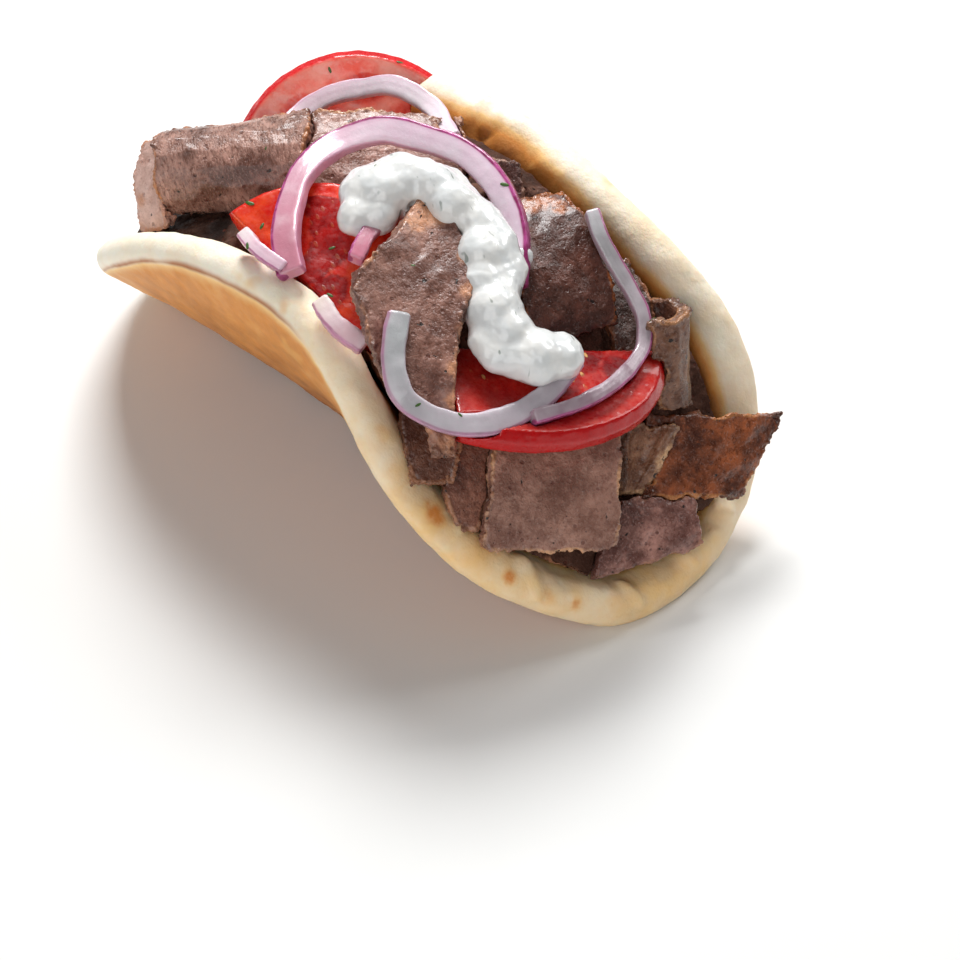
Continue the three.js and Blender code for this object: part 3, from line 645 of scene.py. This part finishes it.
tomatoes = {
    "tomato_back": {
        "at": [-34.3, 10.6, 47.8], "face": [0.55, -0.49, 0.67], "keep": [-0.5, 0.45, 0.74], "radius": 32,
        "depth": 32.5, "seed": 1, "flesh": [(252, 100, 82), (255, 160, 142)],
        "jelly": [(224, 60, 50), (236, 92, 76)], "seeds": 0.1, "skin": (214, 36, 40),
        "wet": [[-44, 22, 67, 6, 0.9], [-50, 6, 62, 6, 0.8], [-30, 26, 60, 8, 0.8]],
    },
    "tomato_near": {
        "at": [11.2, -38, 63.5], "face": [0.17, -0.3, 0.94], "keep": [0.05, 0.94, 0.3], "radius": 33,
        "depth": 30, "seed": 2, "flesh": [(208, 30, 18), (228, 72, 34)],
        "jelly": [(132, 6, 8), (170, 20, 16)], "seeds": 0.08, "skin": (220, 26, 20),
        "wet": [[-6.2, -23.4, 75.4, 6, 1], [0.4, -25.9, 73.3, 6, 1], [5.2, -30, 70.9, 6, 1],
                [6.1, -36.1, 68.9, 5, 1], [13.1, -36.6, 67.6, 5, 1]],
    },
    "tomato_front": {
        "at": [47.2, -12.7, 55], "face": [0.2, 0.15, 0.97], "keep": [0.88, -0.47, -0.11], "radius": 37,
        "depth": 27.5, "seed": 3, "flesh": [(168, 18, 16), (190, 40, 30)],
        "jelly": [(110, 6, 8), (146, 16, 14)], "seeds": 0.75, "skin": (190, 8, 12),
        "wet": [[56.5, 0.8, 54.8, 6, 1], [64.4, 5.9, 52.5, 5, 1], [60, -10, 53, 6, 1], [50, -22, 54, 6, 1]],
    },
}
tomatoCut = {"voxel": 0.4, "smooth": 4, "waveSize": 9, "waveDepth": 0.3, "grainSize": 2.4, "grainDepth": 0.14}


def makeTomato(node, look):
    obj = soften(copyOfNode(node, node + "_slice"), tomatoCut["voxel"], tomatoCut["smooth"])
    face = Vector(look["face"]).normalized()
    keep = Vector(look["keep"])
    keep = (keep - face * keep.dot(face)).normalized()
    side = face.cross(keep)
    points = pointsOf(obj)
    local = points - np.array(look["at"])
    radial = np.hypot(local @ np.array(side) / look["radius"], local @ np.array(keep) / look["depth"])
    mark(obj, "radial", radial)
    mark(obj, "jelly", nearSpots(points, look["wet"]) * rise(-radial, -0.88, -0.8))
    mark(obj, "edge", np.zeros(len(radial)))
    return obj


def tomatoMaterial(name, look):
    material, tree, shader, place = startMaterial(name, Subsurface_Weight=0.12, Subsurface_Scale=0.002,
                                                  Coat_Weight=0.4, Coat_Roughness=0.04)
    shader.inputs["Subsurface Radius"].default_value = (1.0, 0.25, 0.15)
    shader.inputs["Specular IOR Level"].default_value = 0.25
    radial, wet = marked(tree, "radial"), marked(tree, "jelly")
    cloud = noiseOf(tree, place, 6, 4, 0.6)
    fine = noiseOf(tree, place, 1.1, 3, 0.6, 4.0)
    flesh = mixed(tree, step(tree, cloud, 0.35, 0.65), *(tone(*c) for c in look["flesh"]))
    flesh = mixed(tree, step(tree, fine, 0.5, 0.75, 0, 0.1), flesh, tone(250, 170, 140))
    pulp = mixed(tree, step(tree, cloud, 0.4, 0.6), *(tone(*c) for c in look["jelly"]))
    drift = mathOf(tree, "MULTIPLY", mathOf(tree, "SUBTRACT", cloud, 0.5), 1.2)
    pocket = step(tree, mathOf(tree, "ADD", wet, drift), 0.3, 0.55)
    base = mixed(tree, pocket, flesh, pulp)
    slivers = drawnOut(tree, place, (0.3, 0.9, 0.3), 2.2)
    seed = mathOf(tree, "MULTIPLY", step(tree, cellsOf(tree, slivers, 4.4, spread=0.9), 0.24, 0.17), pocket)
    seed = mathOf(tree, "MULTIPLY", seed, look["seeds"])
    base = mixed(tree, seed, base, tone(240, 190, 120))
    skin = mixed(tree, step(tree, cloud, 0.4, 0.7, 0, 0.35), tone(*look["skin"]), tone(150, 8, 12))
    base = mixed(tree, step(tree, radial, 0.93, 0.965), base, skin)
    tree.links.new(base, shader.inputs["Base Color"])
    tree.links.new(step(tree, fine, 0.3, 0.7, 0.2, 0.42), shader.inputs["Roughness"])
    rough = mathOf(tree, "ADD", mathOf(tree, "MULTIPLY", cloud, 0.5), mathOf(tree, "MULTIPLY", fine, 0.2))
    rough = mathOf(tree, "ADD", rough, seed)
    bump(tree, shader, mathOf(tree, "MULTIPLY", rough, step(tree, radial, 0.97, 0.93)), 0.45, 0.7)
    return material


for node, look in tomatoes.items():
    piece = roughen(makeTomato(node, look), tomatoMaterial(node + "_flesh", look), tomatoCut, look["seed"])
    finishPiece(piece, [node])
print("tomato made")


# onion

onions = {
    "onion_back": {
        "path": [[-42.9, -7, 64.3], [-46.9, 3, 65.3], [-44.9, 11, 68.3], [-39.9, 17, 70.3],
                 [-31.9, 21, 73.3], [-20.9, 23, 72.3], [-5.9, 17, 73.3]], "face": [0.45, -0.45, 0.77],
        "size": 0.85, "skin": 0.25, "flesh": [(242, 214, 224), (238, 222, 230)],
    },
    "onion_ring": {
        "path": [[9.6, -44.6, 74.1], [1.6, -39.6, 77.1], [-6.4, -31.6, 78.1], [-13.4, -21.6, 79.1],
                 [-15.4, -9.6, 80.1], [-10.4, -0.6, 82.1], [-1.4, 4.4, 82.1], [8.6, 7.4, 82.1],
                 [19.6, 7.4, 80.1], [28.9, 4.7, 76.1], [35.5, -0.2, 72.1], [40.2, -5.4, 68.1]],
        "face": [0.15, -0.6, 0.79], "size": 1.15, "skin": 1, "flesh": [(198, 132, 148), (232, 208, 222)],
    },
    "onion_far": {
        "path": [[38, 21, 75], [43, 19, 72], [48, 19, 67], [54, 19, 62], [59, 18, 58], [63, 14.5, 54.2],
                 [66.2, 7.2, 53.5], [69.3, -2.9, 55], [69.8, -11.4, 56], [68.4, -18.5, 56.5],
                 [67.3, -23.6, 57]], "face": [0.55, -0.3, 0.78], "size": 0.62, "skin": 0.8,
        "flesh": [(176, 174, 176), (148, 124, 134)],
    },
    "onion_front": {
        "path": [[38, -37, 76], [42, -42, 73], [47, -46, 69], [51, -47, 66], [55, -45, 63], [60, -40, 60],
                 [63, -33, 58], [64, -25, 57], [64, -18, 57], [63, -12, 58], [62, -6, 61]],
        "face": [0.55, -0.45, 0.7], "size": 0.95, "skin": 0.5, "flesh": [(170, 171, 172), (198, 188, 195)],
    },
    "onion_rim_back": {
        "path": [[-8, -44, 75], [0, -46, 76], [8, -45, 75]], "face": [0.2, -0.5, 0.84], "size": 0.6,
        "skin": 0.7, "flesh": [(234, 214, 214), (226, 190, 204)],
    },
    "onion_rim_front": {
        "path": [[20, -45, 73], [27, -46, 71], [34, -44, 68]], "face": [0.3, -0.4, 0.87], "size": 0.8,
        "skin": 0.6, "flesh": [(232, 214, 206), (222, 186, 192)],
    },
    "onion_under_sauce": {
        "path": [[13, -22, 79], [15, -27, 79], [18, -33, 77]], "face": [0.5, -0.4, 0.77], "size": 0.7,
        "skin": 0.8, "flesh": [(206, 130, 150), (206, 130, 150)],
    },
}
onionCut = {
    "wide": 5.6, "thick": 3.4, "sides": 44, "step": 0.45, "swell": 0.08, "square": 0.34, "endLength": 0.5,
    "waveSize": 8, "waveDepth": 0.4, "seed": 5,
}


def smoothPath(points, step):
    knots = [np.array(p, float) for p in points]
    knots = [2 * knots[0] - knots[1]] + knots + [2 * knots[-1] - knots[-2]]
    fine = []
    for p0, p1, p2, p3 in zip(knots, knots[1:], knots[2:], knots[3:]):
        gaps = [np.linalg.norm(b - a) ** 0.5 for a, b in ((p0, p1), (p1, p2), (p2, p3))]
        into = ((p1 - p0) / gaps[0] - (p2 - p0) / (gaps[0] + gaps[1]) + (p2 - p1) / gaps[1]) * gaps[1]
        out = ((p2 - p1) / gaps[1] - (p3 - p1) / (gaps[1] + gaps[2]) + (p3 - p2) / gaps[2]) * gaps[1]
        for t in np.linspace(0, 1, 24, endpoint=False):
            near = (2 * t**3 - 3 * t**2 + 1) * p1 + (t**3 - 2 * t**2 + t) * into
            fine.append(near + (3 * t**2 - 2 * t**3) * p2 + (t**3 - t**2) * out)
    fine = np.array(fine + [knots[-2]])
    far = np.concatenate([[0], np.cumsum(np.linalg.norm(np.diff(fine, axis=0), axis=1))])
    even = np.linspace(0, far[-1], max(8, round(far[-1] / step)))
    return np.stack([np.interp(even, far, fine[:, k]) for k in range(3)], -1), even / far[-1]


def makeOnion(node, look):
    path, t = smoothPath(look["path"], onionCut["step"])
    tangent = np.gradient(path, axis=0)
    tangent /= np.linalg.norm(tangent, axis=1)[:, None]
    face = np.array(look["face"]) - tangent * (tangent @ np.array(look["face"]))[:, None]
    face /= np.linalg.norm(face, axis=1)[:, None]
    side = np.cross(tangent, face)
    turn = np.linspace(0, 2 * math.pi, onionCut["sides"], endpoint=False)
    u = np.sign(np.cos(turn)) * np.abs(np.cos(turn)) ** onionCut["square"]
    v = np.sign(np.sin(turn)) * np.abs(np.sin(turn)) ** onionCut["square"]
    swell = 1 + onionCut["swell"] * sway(6 * t, len(look["path"]))
    fromEnd = np.minimum(t, 1 - t) * len(t) * onionCut["step"] / onionCut["endLength"]
    close = np.sqrt(np.clip(1 - (1 - np.clip(fromEnd, 0, 1)) ** 2, 0.5, 1)) ** 0.5
    wide = onionCut["wide"] * look["size"] / 2 * swell * close
    thick = onionCut["thick"] / 2 * close
    rings = path[:, None] + side[:, None] * (u[None] * wide[:, None])[..., None]
    rings = rings + face[:, None] * (v[None] * thick[:, None])[..., None]
    ends = ((0, rings[0]), (-1, rings[-1]))
    caps = [path[end] + (ring - path[end]) * scale for end, ring in ends for scale in (0.85, 0.4)]
    rings = np.concatenate([[caps[1], caps[0]], rings, [caps[2], caps[3]]])
    rows, cols = rings.shape[:2]
    points = np.concatenate([rings.reshape(-1, 3), path[:1], path[-1:]])
    at = lambda i, j: i * cols + j % cols
    faces = [(at(i, j), at(i, j + 1), at(i + 1, j + 1), at(i + 1, j))
             for i in range(rows - 1) for j in range(cols)]
    faces += [(rows * cols, at(0, j + 1), at(0, j)) for j in range(cols)]
    faces += [(rows * cols + 1, at(rows - 1, j), at(rows - 1, j + 1)) for j in range(cols)]
    obj = meshFrom(node + "_strip", points * mm, faces)
    build = bmesh.new()
    build.from_mesh(obj.data)
    bmesh.ops.recalc_face_normals(build, faces=build.faces)
    build.to_mesh(obj.data)
    build.free()
    outward = np.sign(np.sum(side * (path - path.mean(0))))  # the skin side of a ring is its outer one
    t = np.concatenate([[0, 0], t, [1, 1]])
    mark(obj, "across", np.concatenate([np.tile(u * outward, rows), [0, 0]]))
    mark(obj, "along", np.concatenate([np.repeat(t, cols), [0, 1]]))
    mark(obj, "edge", np.zeros(len(points)))
    return obj


def onionMaterial(name, look):
    material, tree, shader, place = startMaterial(name, Roughness=0.28, Subsurface_Weight=0.35,
                                                  Subsurface_Scale=0.003, Coat_Weight=0.35,
                                                  Coat_Roughness=0.08)
    shader.inputs["Subsurface Radius"].default_value = (1.0, 0.75, 0.85)
    across = marked(tree, "across")
    cloud = noiseOf(tree, place, 8, 3, 0.5)
    fine = noiseOf(tree, place, 1.3, 3, 0.6)
    streaks = noiseOf(tree, place, 2.4, 3, 0.6, 8.0)
    first, second = (tone(*c) for c in look["flesh"])
    face = mixed(tree, step(tree, marked(tree, "along"), 0.05, 0.6), first, second)
    face = mixed(tree, step(tree, cloud, 0.4, 0.7, 0, 0.3), face, tone(246, 240, 244))
    skewed = mathOf(tree, "ADD", across, mathOf(tree, "MULTIPLY", mathOf(tree, "SUBTRACT", cloud, 0.5), 0.3))
    blush = mathOf(tree, "MULTIPLY", step(tree, skewed, 0.35, 0.95, 0, 0.4), look["skin"])
    face = mixed(tree, blush, face, tone(206, 128, 172))
    skin = mixed(tree, step(tree, streaks, 0.35, 0.65), tone(132, 26, 84), tone(178, 74, 138))
    base = mixed(tree, mathOf(tree, "MULTIPLY", step(tree, skewed, 0.62, 0.78), look["skin"]), face, skin)
    inside = step(tree, across, -0.85, -0.98, 0, 0.35 * look["skin"])
    base = mixed(tree, inside, base, tone(206, 140, 178))
    tree.links.new(base, shader.inputs["Base Color"])
    line = mathOf(tree, "SINE", mathOf(tree, "MULTIPLY", across, 9.0))
    height = mathOf(tree, "ADD", mathOf(tree, "MULTIPLY", line, 0.05), mathOf(tree, "MULTIPLY", fine, 0.5))
    bump(tree, shader, height, 0.35, 0.6)
    return material


for node, look in onions.items():
    piece = roughen(makeOnion(node, look), onionMaterial(node + "_flesh", look), onionCut, onionCut["seed"])
    finishPiece(piece, [node])
print("onion made")


# sauce

sauce = {
    "voxel": 0.42, "smooth": 44, "waveSize": 6.5, "waveDepth": 0.85, "foldSize": 12, "foldDepth": 0.45,
    "seed": 3,
    "path": [[7, -26, 79], [7, -18.5, 81.8], [11, -11, 83], [18, -6.5, 82.3], [28, -5.5, 79.5],
             [38, -8, 75], [44, -14, 71], [49, -19, 68], [55, -19, 65], [60, -13, 63], [61, -7, 62]],
    "lumps": {"perStep": 1, "radius": [5.4, 6.8], "beside": 3.4, "above": 1.4, "seed": 4},
    # x, y, z, radius
    "lobes": [[9.5, -25, 80.5, 5], [12.5, -21, 81, 5], [36.5, 0.5, 71.5, 3.2]],
}


def makeSauce():
    obj = copyOfNode("sauce", "whiteSauce")
    path = np.array(sauce["path"], float)
    lumps = sauce["lumps"]
    draw = np.random.default_rng(lumps["seed"])
    places = list(sauce["lobes"])
    for start, end in zip(path[:-1], path[1:]):
        sideways = np.cross(end - start, (0, 0, 1))
        sideways /= np.linalg.norm(sideways)
        for k in range(lumps["perStep"]):
            middle = start + (end - start) * (k + draw.uniform(0.2, 0.8)) / lumps["perStep"]
            beside = sideways * draw.uniform(-1, 1) * lumps["beside"]
            above = (0, 0, lumps["above"] * draw.uniform(0.5, 1))
            places.append([*(middle + beside + above), draw.uniform(*lumps["radius"])])
    build = bmesh.new()
    build.from_mesh(obj.data)
    for x, y, z, r in places:
        bmesh.ops.create_icosphere(build, subdivisions=3, radius=r * mm,
                                   matrix=Matrix.Translation(Vector((x, y, z)) * mm))
    build.to_mesh(obj.data)
    build.free()
    obj = soften(obj, sauce["voxel"], sauce["smooth"])
    mark(obj, "edge", np.zeros(len(obj.data.vertices)))
    return obj


def sauceMaterial():
    material, tree, shader, place = startMaterial("whiteSauce", Subsurface_Weight=0.2, Subsurface_Scale=0.002,
                                                  Roughness=0.3, Coat_Weight=0.8, Coat_Roughness=0.08)
    shader.inputs["Subsurface Radius"].default_value = (1.0, 0.97, 0.9)
    cloud = noiseOf(tree, place, 6, 3, 0.6)
    fine = noiseOf(tree, place, 1.2, 3, 0.6)
    base = mixed(tree, step(tree, cloud, 0.35, 0.65), tone(236, 235, 231), tone(226, 228, 227))
    stretched = drawnOut(tree, place, (0.2, 0.95, -0.25), 2.6)
    chips = step(tree, noiseOf(tree, stretched, 3.6, 1, 0.5, 6.0), 0.68, 0.74)
    base = mixed(tree, mathOf(tree, "MULTIPLY", chips, 0.7), base, tone(110, 122, 112))
    tree.links.new(base, shader.inputs["Base Color"])
    height = mathOf(tree, "ADD", mathOf(tree, "MULTIPLY", cloud, 0.6), mathOf(tree, "MULTIPLY", fine, 0.12))
    bump(tree, shader, height, 0.6, 0.5)
    return material


cream = roughen(makeSauce(), sauceMaterial(), sauce, sauce["seed"])
finishPiece(cream, ["sauce"])
print("sauce made")


# chopped herb on the food

herbs = {
    "length": 1.9, "width": 0.42, "thick": 0.14,  # width and thickness as shares of the length
    # x, y, z, size, turn
    "places": [[-17.9, -34.8, 73.7, 1.3, 0.4], [-11.7, -36.3, 71.4, 1, 2], [5.2, -29.3, 71.2, 0.9, 1.1],
               [14.1, -37.4, 67.1, 1, 0.2], [-2.4, -47.4, 76.6, 1.1, 2.4], [54.7, -46, 65.5, 0.8, 1.4],
               [60.4, -38.9, 62.2, 0.7, 0.3], [-50.7, 15.9, 70.7, 0.9, 2.7], [-40.6, 30, 71.8, 1, 0.9],
               [61.8, 18.4, 58.8, 1.2, 1.6], [23.3, 7.4, 81, 1.2, 0.5], [5.7, -16.4, 88.6, 0.6, 1.9],
               [30, -26, 80, 0.6, 0.7], [-30, -22, 80, 0.5, 2.2], [70, -8, 48, 0.6, 1.2]],
}


def fleckTree():
    tree = bpy.data.node_groups.new("herbFlecks", "GeometryNodeTree")
    face = tree.interface
    face.new_socket("Geometry", in_out="INPUT", socket_type="NodeSocketGeometry")
    face.new_socket("Geometry", in_out="OUTPUT", socket_type="NodeSocketGeometry")
    for name in ("length", "width", "thick"):
        face.new_socket(name, in_out="INPUT", socket_type="NodeSocketFloat")
    face.new_socket("material", in_out="INPUT", socket_type="NodeSocketMaterial")
    given = tree.nodes.new("NodeGroupInput").outputs
    ball = addNode(tree, "GeometryNodeMeshIcoSphere",
                   {"Radius": mathOf(tree, "DIVIDE", given["length"], 2.0), "Subdivisions": 2})
    shares = addNode(tree, "ShaderNodeCombineXYZ", {0: 1.0, 1: given["width"], 2: given["thick"]}).outputs[0]
    leaf = addNode(tree, "GeometryNodeTransform",
                   {"Geometry": ball.outputs["Mesh"], "Scale": shares}).outputs[0]
    numbers = {}
    for name, kind in (("outward", "FLOAT_VECTOR"), ("turn", "FLOAT"), ("size", "FLOAT")):
        numbers[name] = addNode(tree, "GeometryNodeInputNamedAttribute", {"Name": name},
                                data_type=kind).outputs["Attribute"]
    spin = addNode(tree, "FunctionNodeAxisAngleToRotation",
                   {"Axis": (0, 0, 1), "Angle": numbers["turn"]}).outputs[0]
    lean = addNode(tree, "FunctionNodeAlignRotationToVector",
                   {"Rotation": spin, "Vector": numbers["outward"]}, axis="Z").outputs[0]
    values = {"Points": given["Geometry"], "Instance": leaf, "Rotation": lean, "Scale": numbers["size"]}
    spread = addNode(tree, "GeometryNodeInstanceOnPoints", values).outputs[0]
    real = addNode(tree, "GeometryNodeRealizeInstances", {"Geometry": spread}).outputs[0]
    coated = addNode(tree, "GeometryNodeSetMaterial",
                     {"Geometry": real, "Material": given["material"]}).outputs[0]
    tree.links.new(coated, tree.nodes.new("NodeGroupOutput").inputs[0])
    return tree


def makeHerbs(carriers):
    spots, outward = [], []
    for place in herbs["places"]:
        wanted = Vector(place[:3]) * mm
        found = [obj.closest_point_on_mesh(wanted)[1:3] for obj in carriers]
        point, normal = min(found, key=lambda hit: (hit[0] - wanted).length)
        spots.append(point / mm)
        outward.append(normal)
    obj = meshFrom("herbFlecks", np.array(spots) * mm, [])
    layer = obj.data.attributes.new("outward", "FLOAT_VECTOR", "POINT")
    layer.data.foreach_set("vector", np.array(outward).ravel())
    mark(obj, "size", [place[3] for place in herbs["places"]])
    mark(obj, "turn", [place[4] for place in herbs["places"]])
    material, tree, shader, place = startMaterial("herbGreen", Roughness=0.4)
    green = mixed(tree, noiseOf(tree, place, 1.5, 2, 0.6), tone(38, 66, 22), tone(84, 122, 48))
    tree.links.new(green, shader.inputs["Base Color"])
    bump(tree, shader, noiseOf(tree, place, 0.6, 2, 0.5), 0.2, 0.6)
    sizes = {"length": herbs["length"] * mm, "width": herbs["width"], "thick": herbs["thick"],
             "material": material}
    return useTree(obj, fleckTree(), sizes)


carriers = [obj for obj in bpy.context.scene.objects if obj.name.endswith(("_slice", "_strip"))] + [cream]
flecks = makeHerbs(carriers)
finishPiece(flecks, [])
print("herbs made:", len(flecks.data.polygons), "faces")


# floor, light and camera

studio = {
    "sky": (0.93, 0.96, 1.0), "skyStrength": 0.13, "floor": 3, "aim": (0, 0, 0.05),  # metres
    "lamps": {
        "backSoftbox": {"at": (-0.5, 0.38, 0.85), "size": 0.4, "power": 13},
        "topSoftbox": {"at": (0.1, 0.75, 0.75), "size": 0.4, "power": 3},
        "fill": {"at": (0.45, -0.9, 0.6), "size": 0.9, "power": 6},
    },
}


def makeStudio():
    material, tree, shader, place = startMaterial("paleFloor", Roughness=0.8)
    shader.inputs["Base Color"].default_value = tone(236, 236, 234)
    corners = np.array([[-1, -1, 0], [1, -1, 0], [1, 1, 0], [-1, 1, 0]]) * studio["floor"]
    floor = meshFrom("floor", corners, [(0, 1, 2, 3)])
    floor.data.materials.append(material)
    world = bpy.data.worlds.new("studio")
    world.use_nodes = True
    background = world.node_tree.nodes["Background"]
    background.inputs["Color"].default_value = studio["sky"] + (1,)
    background.inputs["Strength"].default_value = studio["skyStrength"]
    bpy.context.scene.world = world
    for name, lamp in studio["lamps"].items():
        light = bpy.data.lights.new(name, "AREA")
        light.size, light.energy = lamp["size"], lamp["power"]
        obj = newObject(name, light)
        obj.location = lamp["at"]
        facing = Vector(studio["aim"]) - Vector(lamp["at"])
        obj.rotation_euler = facing.to_track_quat("-Z", "Y").to_euler()


view = {"lens": 112.5, "sensor": 36, "from": (433.6, -363.3, 492.9), "to": (18.2, 4.3, -11.8)}


def makeCamera():
    lens = bpy.data.cameras.new("camera")
    lens.lens, lens.sensor_width = view["lens"], view["sensor"]
    camera = newObject("camera", lens)
    camera.location = Vector(view["from"]) * mm
    target = Vector(view["to"]) * mm
    camera.rotation_euler = (target - camera.location).to_track_quat("-Z", "Y").to_euler()
    bpy.context.scene.camera = camera


makeStudio()
makeCamera()
bpy.context.scene.view_settings.view_transform = "Standard"
print("scene ready")
